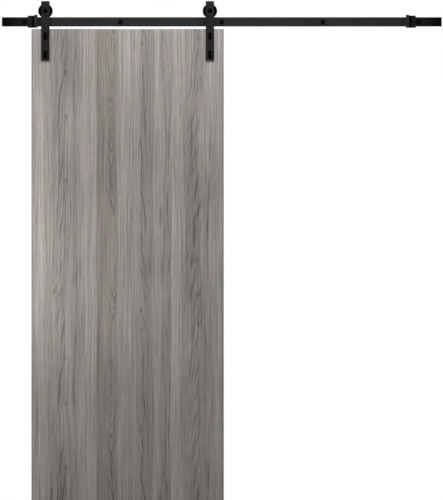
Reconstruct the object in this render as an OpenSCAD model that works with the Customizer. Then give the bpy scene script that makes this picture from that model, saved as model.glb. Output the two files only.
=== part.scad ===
// Sliding barn door: a flush leaf that hangs from a flat wall track by two bent strap hangers,
// each with a grooved wheel on a ball bearing. The track stands off the wall on spacers.
// X runs along the track, Y into the wall and Z up, in millimetres.
// The origin is on the wall plane, on the axis of the middle track screw.

/* [Door leaf] */
// Width of the finished leaf
door_width = 874; // [700:1:1100]
// Height of the finished leaf
door_height = 2145; // [1900:1:2500]
// Thickness of the finished leaf
door_thickness = 40; // [36:1:50]
// Thickness of each face panel
face_thickness = 4; // [3:0.5:6]
// Thickness of the edge bands
band_thickness = 2; // [1.5:0.5:4]
// Radius on the outer corners of the edge bands
band_corner = 1.4; // [0.5:0.1:1.5]
// Width of each stile inside the leaf
stile_width = 45; // [30:1:80]
// Height of the top rail inside the leaf, which takes the hanger bolts
top_rail_height = 170; // [150:1:250]
// Height of the bottom rail inside the leaf
bottom_rail_height = 90; // [60:1:150]
// Width of the floor guide groove in the bottom edge
guide_groove_width = 9; // [6:0.5:14]
// Depth of the floor guide groove
guide_groove_depth = 20; // [12:1:30]
// Gap between the underside of the track and the top of the leaf
door_gap = 12; // [8:1:25]
// Gap between the back of the leaf and the wall
wall_clearance = 15; // [10:1:40]

/* [Track] */
// Length of the track bar
track_length = 2000; // [1800:10:3000]
// Height of the track bar
track_height = 42; // [36:1:50]
// Thickness of the track bar
track_thickness = 6; // [5:0.5:8]
// Radius on the long edges of the track bar
track_edge = 1; // [0.4:0.1:2]
// Distance from the middle screw to the next one each way
screw_pitch = 460; // [300:1:500]
// Distance from each end of the track to its last screw
screw_end_margin = 104; // [60:1:200]

/* [Wall screws] */
// Diameter of the plain shank
screw_diameter = 10; // [8:0.5:10.5]
// Diameter of the threaded stretch, without its thread
screw_core_diameter = 9.2; // [6:0.1:9.4]
// Width across the flats of the hexagon head
screw_head_flats = 17; // [15:0.5:18]
// Height of the hexagon head
screw_head_height = 7; // [5:0.5:8]
// Length of screw that goes into the wall
screw_embedment = 54; // [40:1:90]
// Length of the pointed tip
screw_tip = 10; // [6:1:16]
// Diameter of the blunt end of the tip
screw_point_diameter = 1; // [0.5:0.1:2]
// Diameter of the washer under each head
washer_diameter = 20; // [18.5:0.5:22]
// Thickness of the washers
washer_thickness = 2; // [1:0.5:2.5]
// Outer diameter of the spacers
spacer_diameter = 24; // [18:0.5:30]

/* [Hangers] */
// Distance from the side of the leaf to the middle of its strap
hanger_inset = 63; // [40:1:150]
// Width of the strap
strap_width = 38; // [32:0.5:50]
// Thickness of the strap
strap_thickness = 6; // [6:0.5:8]
// Inside radius of the two bends at the top of the strap
strap_bend = 8; // [3:0.5:10]
// Clear height between the wheel and the top of the strap
strap_headroom = 6.3; // [2:0.1:15]
// Length of strap that lies on the face of the leaf
strap_overlap = 144; // [130:1:145]
// Distance from the end of the strap to the middle of its lower slot
slot_margin = 27; // [22:0.5:35]
// Distance between the middles of the two slots
slot_pitch = 84; // [50:1:90]
// Distance between the middles of a slot's two rounded ends
slot_travel = 18; // [4:0.5:24]
// Distance from the stop to the axle of the nearer wheel, as the leaf stands
rest_distance = 35.5; // [30:0.5:60]

/* [Wheels] */
// Diameter over the flanges
wheel_diameter = 65.8; // [60:0.1:90]
// Depth of the groove, from the flanges to its floor
groove_depth = 5; // [3:0.1:8]
// Play between the track and each wall of the groove
groove_play = 1; // [0.5:0.1:2]
// Extra width of the groove at its mouth, on each side
groove_flare = 1; // [0.2:0.1:2]
// Thickness of each flange
flange_thickness = 8; // [7.5:0.5:14]
// Depth of the recess in each side of the wheel
wheel_recess = 2.5; // [0.5:0.1:4]
// Chamfer on the outer corners of the rim
wheel_chamfer = 1.5; // [0.5:0.1:3]
// Wall of the hub round the bearing
hub_wall = 4; // [2:0.1:5]
// Thickness of the rim between the groove's floor and the recess
rim_thickness = 1; // [0.6:0.1:3]
// Width of the shoulder that the bearing is pushed up to
bearing_shoulder = 2.5; // [1:0.1:4]
// Play between the wheel and each leg of the strap
wheel_side_play = 2; // [1.5:0.1:5]

/* [Bearings] */
// Outer diameter of the bearing
bearing_diameter = 30; // [27:0.5:34]
// Width of the bearing
bearing_width = 9; // [8:0.5:14]
// Diameter of the balls
ball_diameter = 4.76; // [4:0.01:5]
// Number of balls in each bearing
ball_count = 8; // [6:1:9]
// Thickness of the seals
seal_thickness = 0.8; // [0.4:0.1:1]
// Depth of the seals below the faces of the bearing
seal_recess = 0.1; // [0.05:0.05:0.3]
// Width of the step in the outer race that a seal is pushed into
seal_step = 0.6; // [0.4:0.1:1]
// Thickness of the cage, in and out
cage_thickness = 1.4; // [0.8:0.1:2]
// Width of the rim on each side of the cage's pockets
cage_rim = 0.6; // [0.4:0.1:0.8]

/* [Bolts] */
// Diameter of the axle bolts
axle_diameter = 10; // [8:0.5:10.5]
// Diameter of the axle bolt's button head
axle_head_diameter = 21; // [16:0.5:22]
// Height of the axle bolt's button head
axle_head_height = 5.5; // [4:0.1:6]
// Width across the flats of the axle nut
axle_nut_flats = 17; // [16:0.5:19]
// Height of the axle nut
axle_nut_height = 6; // [5:0.5:8]
// Diameter of the sleeves that hold the bearing between the strap's legs
axle_sleeve_diameter = 14; // [13:0.5:15]
// Diameter of the door bolts
bolt_diameter = 10; // [9:0.5:10.5]
// Diameter of the door bolt's countersunk head
bolt_head_diameter = 20; // [18:0.5:20]
// Width across the flats of the hexagon sockets
socket_flats = 6; // [4:0.5:7]
// Depth of the hexagon sockets
socket_depth = 3; // [1.5:0.1:3.5]
// Outer diameter of the sleeve nuts
sleeve_nut_diameter = 13; // [12.5:0.5:16]
// Diameter of the sleeve nut's flange on the back of the leaf
sleeve_flange_diameter = 24; // [20:0.5:30]
// Thickness of the sleeve nut's flange
sleeve_flange_thickness = 2.5; // [1.5:0.5:4]
// Length of the axle bolt that stands out behind its nut
axle_end = 1; // [0.5:0.5:4]
// Solid end between a sleeve nut's bore and its socket
sleeve_nut_end = 3; // [2:0.5:6]
// Distance from the front of the leaf to the mouth of a sleeve nut
sleeve_nut_setback = 8; // [2:0.5:14]
// Length of bolt that is screwed into a sleeve nut
bolt_engagement = 20; // [8:0.5:22]

/* [Stops] */
// Width of the part that is clamped to the track
stop_clamp_width = 20; // [16:0.5:40]
// Width of the rubber buffer
stop_buffer_width = 9; // [4:0.5:15]
// Width of the part that the wheel strikes
striker_width = 15.5; // [8:0.5:30]
// Wall in front of and behind the track
stop_wall = 8; // [5:0.5:9]
// Wall above the track
stop_top_wall = 7; // [5:0.5:12]
// Wall below the track
stop_bottom_wall = 5.5; // [4:0.5:7]
// Height of the striker above the clamp
striker_rise = 3.7; // [0:0.1:10]
// Radius on the corners of the stop
stop_corner = 1.5; // [0.5:0.1:3]
// Gap between the washer of the end screw and the stop
stop_screw_gap = 4; // [1:0.5:40]
// Diameter of the set screws
set_screw_diameter = 6; // [4:0.5:8]
// Distance between the two set screws
set_screw_pitch = 20; // [12:1:26]
// Width across the flats of the set screw's socket
set_screw_socket = 3; // [1.5:0.5:3]

/* [Clearances] */
// Gap between the wheel and the track, and around the stops
running_gap = 0.3; // [0.1:0.05:0.5]
// Radial gap around bolts and sleeves in their holes
hole_gap = 0.25; // [0.1:0.05:0.5]
// Radial gap around a wall screw in the track, washer and spacer
screw_gap = 0.5; // [0.2:0.1:0.8]
// Radial gap of close round fits
close_gap = 0.04; // [0.02:0.01:0.1]
// Gap between a door bolt's head and its slot
slot_gap = 0.5; // [0.2:0.1:1]
// Gap between a ball and its pocket in the cage
cage_gap = 0.1; // [0.05:0.05:0.2]

/* [Hidden] */
$fn = 64;
// How far a cutting shape runs past the face that it cuts
overcut = 1;
// Share of a hexagon's flats that is left level at an end with turned corners
turned_face_share = 0.95;
black_steel = "#2c2c2e";
dark_fastener = "#161617";
black_wheel = "#0c0c0d";
rubber = "#060606";
plain_steel = "#b4b4b8";
grey_laminate = "#8f8a85";
pine = "#d2b48c";
chipboard = "#b99b72";

// Depths, from the wall outwards. The leaf's front is flush with the inside of the straps' front legs.
wheel_width = track_thickness + 2 * (groove_play + flange_thickness);
leg_gap = wheel_width + 2 * wheel_side_play;
door_front_y = -wall_clearance - door_thickness;
door_back_y = -wall_clearance;
track_y = door_front_y + leg_gap / 2;
track_front_y = track_y - track_thickness / 2;
track_back_y = track_y + track_thickness / 2;
strap_front_y = door_front_y - strap_thickness;
strap_rear_y = door_front_y + leg_gap;
strap_back_y = strap_rear_y + strap_thickness;
strap_depth = strap_back_y - strap_front_y;
spacer_length = -track_back_y;
screw_head_y = track_front_y - washer_thickness;
screw_hole_radius = screw_diameter / 2 + screw_gap;

// Heights, from the middle of the track
groove_radius = wheel_diameter / 2 - groove_depth;
axle_z = track_height / 2 + running_gap + groove_radius;
strap_top_z = axle_z + wheel_diameter / 2 + strap_headroom + strap_thickness;
door_top_z = -track_height / 2 - door_gap;
door_bottom_z = door_top_z - door_height;
strap_bottom_z = door_top_z - strap_overlap;
slot_z = [for (i = [0, 1]) strap_bottom_z + slot_margin + i * slot_pitch];
bolt_z = [for (z = slot_z) z - slot_travel / 2];

// Places along the track
screw_end_x = track_length / 2 - screw_end_margin;
screw_x = [-screw_end_x, -screw_pitch, 0, screw_pitch, screw_end_x];
stop_outer_x = screw_end_x - washer_diameter / 2 - stop_screw_gap;
striker_x = stop_outer_x - stop_clamp_width - stop_buffer_width;
strike_face_x = striker_x - striker_width;
hanger_left_x = -strike_face_x + rest_distance;
hanger_x = [hanger_left_x, hanger_left_x + door_width - 2 * hanger_inset];
door_left_x = hanger_left_x - hanger_inset;
door_inner_left_x = door_left_x + band_thickness;
door_inner_width = door_width - 2 * band_thickness;

// Inside of the leaf
frame_y = door_front_y + face_thickness;
frame_depth = door_thickness - 2 * face_thickness;
frame_top_z = door_top_z - band_thickness;
stile_bottom_z = door_bottom_z + bottom_rail_height;
stile_length = frame_top_z - top_rail_height - stile_bottom_z;

// Bearing
ball_pitch_radius = (bearing_diameter + axle_diameter) / 4;
race_groove_radius = ball_diameter / 2 + close_gap;
race_shoulder = ball_diameter / 3;
inner_shoulder_radius = ball_pitch_radius - race_shoulder;
outer_shoulder_radius = ball_pitch_radius + race_shoulder;
seal_seat_radius = outer_shoulder_radius + seal_step;
seal_inner_y = bearing_width / 2 - seal_recess - seal_thickness;
cage_width = ball_diameter + 2 * (cage_gap + cage_rim);

// Door bolts and sleeve nuts
bolt_head_depth = (bolt_head_diameter - bolt_diameter) / 2;
sleeve_nut_mouth_y = door_front_y + sleeve_nut_setback;
sleeve_nut_back_y = door_back_y + sleeve_flange_thickness;
sleeve_nut_bore_end_y = sleeve_nut_back_y - socket_depth - sleeve_nut_end;
bolt_tip_y = sleeve_nut_mouth_y + bolt_engagement;
sleeve_hole_radius = sleeve_nut_diameter / 2 + hole_gap;

SIDES = [["left", 0], ["right", 1]];
HANGER_NODES = [
  "strap", "axle_bolt", "axle_nut", "axle_sleeves", "bearing_inner_race", "door_bolts", "sleeve_nuts"
];
WHEEL_NODES = ["wheel", "bearing_outer_race", "bearing_seals", "bearing_cage", "bearing_balls"];
STOP_NODES = ["clamp", "buffer", "striker", "set_screws"];
DOOR_NODES = [
  "door_face_front", "door_face_rear", "door_stile_left", "door_stile_right", "door_top_rail",
  "door_bottom_rail", "door_core", "door_edge_band_left", "door_edge_band_right", "door_edge_band_top"
];

// A rod along Y, starting at y
module rod(y, length, radius, tip_radius = undef) {
  translate([0, y, 0])
    rotate([-90, 0, 0])
      cylinder(h = length, r1 = radius, r2 = is_undef(tip_radius) ? radius : tip_radius);
}

// A hexagon prism along Y, starting at y, with two flats level
module hexagon(y, length, flats) {
  translate([0, y, 0])
    rotate([-90, 30, 0])
      cylinder(h = length, d = flats / cos(30), $fn = 6);
}

// A hexagon head or nut along Y: the corners are turned off at its front, and at its back too if both_ends
module turned_hexagon(y, length, flats, both_ends = false) {
  outside = flats / cos(30) / 2 + overcut;
  face = turned_face_share * flats / 2;
  slope = (outside - face) * tan(30);
  intersection() {
    hexagon(y, length, flats);
    translate([0, y, 0])
      turned()
        polygon([
          [0, 0],
          [face, 0],
          [outside, slope],
          [outside, both_ends ? length - slope : length],
          [both_ends ? face : outside, length],
          [0, length]
        ]);
  }
}

// A solid of revolution about Y, from an outline of radius against y
module turned() {
  rotate([-90, 0, 0])
    rotate_extrude()
      children();
}

// A bar along X from a section in Y and Z
module bar(x, length) {
  translate([x, 0, 0])
    rotate([90, 0, 90])
      linear_extrude(height = length)
        children();
}

// A rectangle in the section plane with its corners rounded
module rounded_section(low, high, radius) {
  translate([low[0] + radius, low[1]])
    square([high[0] - low[0] - 2 * radius, high[1] - low[1]]);
  translate([low[0], low[1] + radius])
    square([high[0] - low[0], high[1] - low[1] - 2 * radius]);
  for (y = [low[0] + radius, high[0] - radius], z = [low[1] + radius, high[1] - radius])
    translate([y, z])
      circle(r = radius);
}

// A block between two corners
module block(low, high) {
  translate(low)
    cube(high - low);
}

module track_rail() {
  color(black_steel)
    difference() {
      bar(-track_length / 2, track_length)
        rounded_section([track_front_y, -track_height / 2], [track_back_y, track_height / 2], track_edge);
      for (x = screw_x)
        translate([x, 0, 0])
          rod(track_front_y - overcut, track_thickness + 2 * overcut, screw_hole_radius);
    }
}

module track_washers() {
  color(dark_fastener)
    for (x = screw_x)
      translate([x, 0, 0])
        difference() {
          rod(screw_head_y, washer_thickness, washer_diameter / 2);
          rod(screw_head_y - overcut, washer_thickness + 2 * overcut, screw_hole_radius);
        }
}

module track_spacer(x) {
  color(black_steel)
    translate([x, 0, 0])
      difference() {
        rod(track_back_y, spacer_length, spacer_diameter / 2);
        rod(track_back_y - overcut, spacer_length + 2 * overcut, screw_hole_radius);
      }
}

// The shank ends on the wall plane, and the threaded stretch and the tip stand out behind it.
module track_screw(x) {
  core_radius = screw_core_diameter / 2;
  shank_radius = screw_diameter / 2;
  front_y = screw_head_y - screw_head_height;
  color(dark_fastener)
    translate([x, 0, 0])
      union() {
        turned_hexagon(front_y, screw_head_height, screw_head_flats);
        turned()
          polygon([
            [0, front_y + screw_head_height / 2],
            [shank_radius, front_y + screw_head_height / 2],
            [shank_radius, 0],
            [core_radius, 0],
            [core_radius, screw_embedment - screw_tip],
            [screw_point_diameter / 2, screw_embedment],
            [0, screw_embedment]
          ]);
      }
}

// Puts what is drawn for the right stop at either end of the track
module at_stop(side) {
  mirror([side == 0 ? 1 : 0, 0, 0])
    children();
}

// A collar that is slid on the track from its end
module stop_collar(x, width, top_wall) {
  fit = running_gap;
  bar(x, width)
    difference() {
      rounded_section(
        [track_front_y - stop_wall, -track_height / 2 - stop_bottom_wall],
        [track_back_y + stop_wall, track_height / 2 + top_wall],
        stop_corner
      );
      translate([track_front_y - fit, -track_height / 2 - fit])
        square([track_thickness + 2 * fit, track_height + 2 * fit]);
    }
}

module stop_clamp(side) {
  color(black_steel)
    at_stop(side)
      difference() {
        stop_collar(stop_outer_x - stop_clamp_width, stop_clamp_width, stop_top_wall);
        at_set_screws()
          rod(track_back_y, stop_wall + overcut, set_screw_diameter / 2 + close_gap);
      }
}

module stop_buffer(side) {
  color(rubber)
    at_stop(side)
      stop_collar(striker_x, stop_buffer_width, stop_top_wall);
}

module stop_striker(side) {
  color(black_steel)
    at_stop(side)
      stop_collar(strike_face_x, striker_width, stop_top_wall + striker_rise);
}

module at_set_screws() {
  for (end = [-1, 1])
    translate([stop_outer_x - stop_clamp_width / 2, 0, end * set_screw_pitch / 2])
      children();
}

// They bear on the back of the track.
module stop_set_screws(side) {
  color(dark_fastener)
    at_stop(side)
      at_set_screws()
        difference() {
          rod(track_back_y, stop_wall, set_screw_diameter / 2);
          hexagon(track_back_y + stop_wall - socket_depth, socket_depth + overcut, set_screw_socket);
        }
}

// The holes that the sleeve nuts pass through
module sleeve_nut_holes() {
  at_door_bolts()
    rod(door_front_y - overcut, door_thickness + 2 * overcut, sleeve_hole_radius);
}

module at_door_bolts() {
  for (x = hanger_x)
    at_hanger_bolts(x)
      children();
}

module at_hanger_bolts(x) {
  for (z = bolt_z)
    translate([x, 0, z])
      children();
}

module door_face(y) {
  color(grey_laminate)
    difference() {
      block(
        [door_inner_left_x, y, door_bottom_z],
        [door_inner_left_x + door_inner_width, y + face_thickness, frame_top_z]
      );
      sleeve_nut_holes();
    }
}

module door_top_rail() {
  color(pine)
    difference() {
      block(
        [door_inner_left_x, frame_y, frame_top_z - top_rail_height],
        [door_inner_left_x + door_inner_width, frame_y + frame_depth, frame_top_z]
      );
      sleeve_nut_holes();
    }
}

// The groove that a floor guide runs in, along the whole bottom edge
module guide_groove() {
  groove_y = door_front_y + (door_thickness - guide_groove_width) / 2;
  block(
    [door_left_x - overcut, groove_y, door_bottom_z - overcut],
    [door_left_x + door_width + overcut, groove_y + guide_groove_width, door_bottom_z + guide_groove_depth]
  );
}

module door_bottom_rail() {
  color(pine)
    difference() {
      block(
        [door_inner_left_x, frame_y, door_bottom_z],
        [door_inner_left_x + door_inner_width, frame_y + frame_depth, stile_bottom_z]
      );
      guide_groove();
    }
}

module door_stile(x) {
  color(pine)
    translate([x, frame_y, stile_bottom_z])
      cube([stile_width, frame_depth, stile_length]);
}

module door_core() {
  color(chipboard)
    translate([door_inner_left_x + stile_width, frame_y, stile_bottom_z])
      cube([door_inner_width - 2 * stile_width, frame_depth, stile_length]);
}

// A side band: its two outer corners are rounded, and its inner face lies on the leaf.
module side_band_section() {
  difference() {
    translate([0, door_front_y])
      square([band_thickness, door_thickness]);
    for (end = [0, 1])
      translate([0, end == 0 ? door_front_y : door_back_y])
        mirror([0, end, 0])
          difference() {
            translate([-overcut, -overcut])
              square(band_corner + overcut);
            translate([band_corner, band_corner])
              circle(r = band_corner);
          }
  }
}

// The groove for the floor guide runs out through both side bands.
module door_side_band(x, turned_round) {
  color(grey_laminate)
    difference() {
      translate([x, 0, door_bottom_z])
        mirror([turned_round ? 1 : 0, 0, 0])
          linear_extrude(height = door_height)
            side_band_section();
      guide_groove();
    }
}

module door_top_band() {
  color(grey_laminate)
    translate([door_inner_left_x, door_front_y, frame_top_z])
      cube([door_inner_width, door_thickness, band_thickness]);
}

// One quarter of a bend: turn_y is -1 on the door's side and 1 on the wall's side.
module bend_section(turn_y) {
  intersection() {
    difference() {
      circle(r = strap_bend + strap_thickness);
      circle(r = strap_bend);
    }
    translate([turn_y < 0 ? -strap_bend - strap_thickness : 0, 0])
      square(strap_bend + strap_thickness);
  }
}

// The long leg lies on the leaf, the top goes over the wheel, and the short leg holds the axle's back end.
module strap_section() {
  bend_z = strap_top_z - strap_bend - strap_thickness;
  flat_y = door_front_y + strap_bend;
  flat_length = leg_gap - 2 * strap_bend;
  translate([strap_front_y, strap_bottom_z])
    square([strap_thickness, bend_z - strap_bottom_z]);
  translate([strap_rear_y, axle_z])
    square([strap_thickness, bend_z - axle_z]);
  translate([flat_y, strap_top_z - strap_thickness])
    square([flat_length, strap_thickness]);
  translate([flat_y, bend_z])
    bend_section(-1);
  translate([flat_y + flat_length, bend_z])
    bend_section(1);
}

// A countersunk slot, sunk in the front of the strap. Only the bolt's hole at its lower end goes through.
module bolt_slot() {
  face_radius = bolt_head_diameter / 2 + slot_gap;
  neck_radius = bolt_diameter / 2 + slot_gap;
  for (end = [-1, 1])
    translate([0, 0, end * slot_travel / 2])
      rod(strap_front_y, bolt_head_depth, face_radius, neck_radius);
  translate([0, 0, -slot_travel / 2])
    rod(strap_front_y, strap_thickness + overcut, neck_radius);
  translate([0, strap_front_y, -slot_travel / 2])
    linear_extrude(height = slot_travel)
      polygon([
        [-face_radius, 0],
        [face_radius, 0],
        [neck_radius, bolt_head_depth],
        [-neck_radius, bolt_head_depth]
      ]);
}

module hanger_strap(x) {
  color(black_steel)
    translate([x, 0, 0])
      difference() {
        union() {
          bar(-strap_width / 2, strap_width)
            strap_section();
          translate([0, 0, axle_z])
            rod(strap_rear_y, strap_thickness, strap_width / 2);
        }
        translate([0, 0, axle_z])
          rod(strap_front_y - overcut, strap_depth + 2 * overcut, axle_diameter / 2 + hole_gap);
        for (z = slot_z)
          translate([0, 0, z])
            bolt_slot();
      }
}

module at_axle(x) {
  translate([x, 0, axle_z])
    children();
}

module hanger_axle_bolt(x) {
  dome_radius = (pow(axle_head_diameter / 2, 2) + pow(axle_head_height, 2)) / (2 * axle_head_height);
  head_y = strap_front_y - axle_head_height;
  color(dark_fastener)
    at_axle(x)
      difference() {
        union() {
          intersection() {
            translate([0, head_y + dome_radius, 0])
              sphere(r = dome_radius);
            rod(head_y, axle_head_height, axle_head_diameter / 2);
          }
          rod(strap_front_y, strap_depth + axle_nut_height + axle_end, axle_diameter / 2);
        }
        hexagon(head_y - overcut, socket_depth + overcut, socket_flats);
      }
}

module hanger_axle_nut(x) {
  color(dark_fastener)
    at_axle(x)
      difference() {
        turned_hexagon(strap_back_y, axle_nut_height, axle_nut_flats, true);
        rod(strap_back_y - overcut, axle_nut_height + 2 * overcut, axle_diameter / 2 + close_gap);
      }
}

// They fill the room between the strap's legs and the bearing's inner race.
module hanger_axle_sleeves(x) {
  sleeve_length = (leg_gap - bearing_width) / 2;
  color(plain_steel)
    at_axle(x)
      for (y = [door_front_y, track_y + bearing_width / 2])
        difference() {
          rod(y, sleeve_length, axle_sleeve_diameter / 2);
          rod(y - overcut, sleeve_length + 2 * overcut, axle_diameter / 2 + close_gap);
        }
}

// The head's cone is clear of its slot by slot_gap all round.
module hanger_door_bolts(x) {
  color(dark_fastener)
    at_hanger_bolts(x)
      difference() {
        union() {
          rod(strap_front_y, bolt_head_depth, bolt_head_diameter / 2, bolt_diameter / 2);
          rod(strap_front_y, bolt_tip_y - strap_front_y, bolt_diameter / 2);
        }
        hexagon(strap_front_y - overcut, socket_depth + overcut, socket_flats);
      }
}

module hanger_sleeve_nuts(x) {
  color(dark_fastener)
    at_hanger_bolts(x)
      difference() {
        union() {
          rod(sleeve_nut_mouth_y, door_back_y - sleeve_nut_mouth_y, sleeve_nut_diameter / 2);
          rod(door_back_y, sleeve_flange_thickness, sleeve_flange_diameter / 2);
        }
        rod(
          sleeve_nut_mouth_y - overcut,
          sleeve_nut_bore_end_y - sleeve_nut_mouth_y + overcut,
          bolt_diameter / 2 + close_gap
        );
        hexagon(sleeve_nut_back_y - socket_depth, socket_depth + overcut, socket_flats);
      }
}

// Puts what is drawn round the middle of the track at a wheel's centre
module at_wheel(x) {
  translate([x, track_y, axle_z])
    children();
}

// The ball track as it is cut in the section of a race
module race_groove() {
  translate([ball_pitch_radius, 0])
    circle(r = race_groove_radius);
}

module hanger_bearing_inner_race(x) {
  bore_radius = axle_diameter / 2 + close_gap;
  color(plain_steel)
    at_wheel(x)
      turned()
        difference() {
          translate([bore_radius, -bearing_width / 2])
            square([inner_shoulder_radius - bore_radius, bearing_width]);
          race_groove();
        }
}

// The bearing goes in from the back, up to a shoulder.
module roller_wheel(x) {
  rim = wheel_diameter / 2;
  half = wheel_width / 2;
  floor_half = track_thickness / 2 + groove_play;
  seat_radius = bearing_diameter / 2 + close_gap;
  lip_radius = bearing_diameter / 2 - bearing_shoulder;
  hub_radius = seat_radius + hub_wall;
  recess_radius = groove_radius - rim_thickness;
  color(black_wheel)
    at_wheel(x)
      turned()
        polygon([
          [lip_radius, -half],
          [hub_radius, -half],
          [hub_radius + wheel_recess / 2, -half + wheel_recess],
          [recess_radius - wheel_recess / 2, -half + wheel_recess],
          [recess_radius, -half],
          [rim - wheel_chamfer, -half],
          [rim, -half + wheel_chamfer],
          [rim, -floor_half - groove_flare],
          [groove_radius, -floor_half],
          [groove_radius, floor_half],
          [rim, floor_half + groove_flare],
          [rim, half - wheel_chamfer],
          [rim - wheel_chamfer, half],
          [recess_radius, half],
          [recess_radius - wheel_recess / 2, half - wheel_recess],
          [hub_radius + wheel_recess / 2, half - wheel_recess],
          [hub_radius, half],
          [seat_radius, half],
          [seat_radius, -bearing_width / 2],
          [lip_radius, -bearing_width / 2]
        ]);
}

module roller_bearing_outer_race(x) {
  color(plain_steel)
    at_wheel(x)
      turned()
        difference() {
          translate([outer_shoulder_radius, -bearing_width / 2])
            square([bearing_diameter / 2 - outer_shoulder_radius, bearing_width]);
          race_groove();
          for (end = [-1, 1])
            translate([0, end * (seal_inner_y + bearing_width / 2) - bearing_width / 2])
              square([seal_seat_radius, bearing_width]);
        }
}

module roller_bearing_seals(x) {
  inner_radius = inner_shoulder_radius + 2 * close_gap;
  color(rubber)
    at_wheel(x)
      for (end = [-1, 1])
        turned()
          translate([inner_radius, end * (seal_inner_y + seal_thickness / 2) - seal_thickness / 2])
            square([seal_seat_radius - close_gap - inner_radius, seal_thickness]);
}

module at_balls() {
  for (i = [0 : ball_count - 1])
    rotate([0, i * 360 / ball_count, 0])
      translate([ball_pitch_radius, 0, 0])
        children();
}

module roller_bearing_cage(x) {
  color(plain_steel)
    at_wheel(x)
      difference() {
        turned()
          translate([ball_pitch_radius - cage_thickness / 2, -cage_width / 2])
            square([cage_thickness, cage_width]);
        at_balls()
          rotate([0, 90, 0])
            cylinder(h = cage_thickness + 2 * overcut, d = ball_diameter + 2 * cage_gap, center = true);
      }
}

module roller_bearing_balls(x) {
  color(plain_steel)
    at_wheel(x)
      at_balls()
        sphere(r = ball_diameter / 2);
}

// Track, its screws and spacers
track_rail();
track_washers();
for (i = [1 : len(screw_x)]) {
  track_spacer(screw_x[i - 1]);
  track_screw(screw_x[i - 1]);
}

// Stops at the two ends of the track
for (side = SIDES) {
  stop_clamp(side[1]);
  stop_buffer(side[1]);
  stop_striker(side[1]);
  stop_set_screws(side[1]);
}

// Door leaf
door_face(door_front_y);  // door_face_front
door_face(door_back_y - face_thickness);  // door_face_rear
door_stile(door_inner_left_x);  // door_stile_left
door_stile(door_inner_left_x + door_inner_width - stile_width);  // door_stile_right
door_top_rail();
door_bottom_rail();
door_core();
door_side_band(door_left_x, false);  // door_edge_band_left
door_side_band(door_left_x + door_width, true);  // door_edge_band_right
door_top_band();  // door_edge_band_top

// Hangers, and the wheels that turn on them
for (side = SIDES) {
  hanger = str("hanger_", side[0], "_");
  roller = str("roller_", side[0], "_");
  x = hanger_x[side[1]];
  hanger_strap(x);
  hanger_axle_bolt(x);
  hanger_axle_nut(x);
  hanger_axle_sleeves(x);
  hanger_bearing_inner_race(x);
  hanger_door_bolts(x);
  hanger_sleeve_nuts(x);
  roller_wheel(x);
  roller_bearing_outer_race(x);
  roller_bearing_seals(x);
  roller_bearing_cage(x);
  roller_bearing_balls(x);
}
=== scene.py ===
"""Looks of a sliding barn door.

A grey wood-laminate leaf hangs from a flat black wall track by two strap hangers with grooved wheels.
Lengths are in metres. X runs along the track, Y into the wall and Z up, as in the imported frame.
"""

import logging
import math
from collections.abc import Iterable, Sequence
from dataclasses import dataclass
from enum import Enum

import bmesh
import bpy
from mathutils import Matrix, Vector


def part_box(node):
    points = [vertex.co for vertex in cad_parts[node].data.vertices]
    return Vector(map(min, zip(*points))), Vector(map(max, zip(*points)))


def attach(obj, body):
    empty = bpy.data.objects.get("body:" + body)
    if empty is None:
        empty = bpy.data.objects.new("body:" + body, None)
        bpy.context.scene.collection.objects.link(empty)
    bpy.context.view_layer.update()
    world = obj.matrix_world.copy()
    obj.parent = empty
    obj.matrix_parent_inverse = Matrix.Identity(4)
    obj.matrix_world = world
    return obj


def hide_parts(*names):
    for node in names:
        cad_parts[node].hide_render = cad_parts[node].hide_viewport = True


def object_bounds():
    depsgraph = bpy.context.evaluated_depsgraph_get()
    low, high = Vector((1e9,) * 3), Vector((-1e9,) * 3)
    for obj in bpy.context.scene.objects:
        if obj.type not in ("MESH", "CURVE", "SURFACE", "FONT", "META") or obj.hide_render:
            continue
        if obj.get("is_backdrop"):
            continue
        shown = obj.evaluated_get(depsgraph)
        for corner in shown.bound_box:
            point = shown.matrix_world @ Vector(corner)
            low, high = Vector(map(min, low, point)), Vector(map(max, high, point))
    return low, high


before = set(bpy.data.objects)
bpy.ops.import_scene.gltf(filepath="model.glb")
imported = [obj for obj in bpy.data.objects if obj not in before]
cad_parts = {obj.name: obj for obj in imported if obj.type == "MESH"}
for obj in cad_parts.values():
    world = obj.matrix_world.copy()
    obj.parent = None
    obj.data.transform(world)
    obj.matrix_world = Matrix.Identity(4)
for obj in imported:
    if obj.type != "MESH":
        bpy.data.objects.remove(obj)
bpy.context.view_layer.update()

LOG = logging.getLogger("barn_door")
MM = 0.001

# Points nearer than this are one point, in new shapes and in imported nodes.
MERGE_DISTANCE = 0.001 * MM
WELD_DISTANCE = 0.002 * MM
# Edges sharper than this are broken, into this many faces.
SHARP_EDGE = math.radians(40)
EDGE_FACES = 2

# The mean of a noise, the range that it mostly keeps to and the range that it hardly ever leaves.
NOISE_MEAN = 0.5
NOISE_RANGE = (0.25, 0.75)
WIDE_RANGE = (0.2, 0.8)
# Tones of the print are given as the eye sees them, and raised to this power for the shader.
TONE_POWER = 2.3

Socket = bpy.types.NodeSocket
Colour = tuple[float, float, float]
Point = tuple[float, float, float]
Span = tuple[float, float]
Feed = Socket | float | tuple[float, ...]


class Side(str, Enum):
    """The two hangers, wheels and stops."""

    LEFT = "left"
    RIGHT = "right"


class Body(str, Enum):
    """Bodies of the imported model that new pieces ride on."""

    TRACK = "track"


class Slot(str, Enum):
    """Material slots of the imported model."""

    FASTENER = "black_fastener"


class Grain(Enum):
    """How the printed sheet lies on a piece of the leaf."""

    FRONT = 1
    REAR = 2
    TOP_BAND = 3


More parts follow.
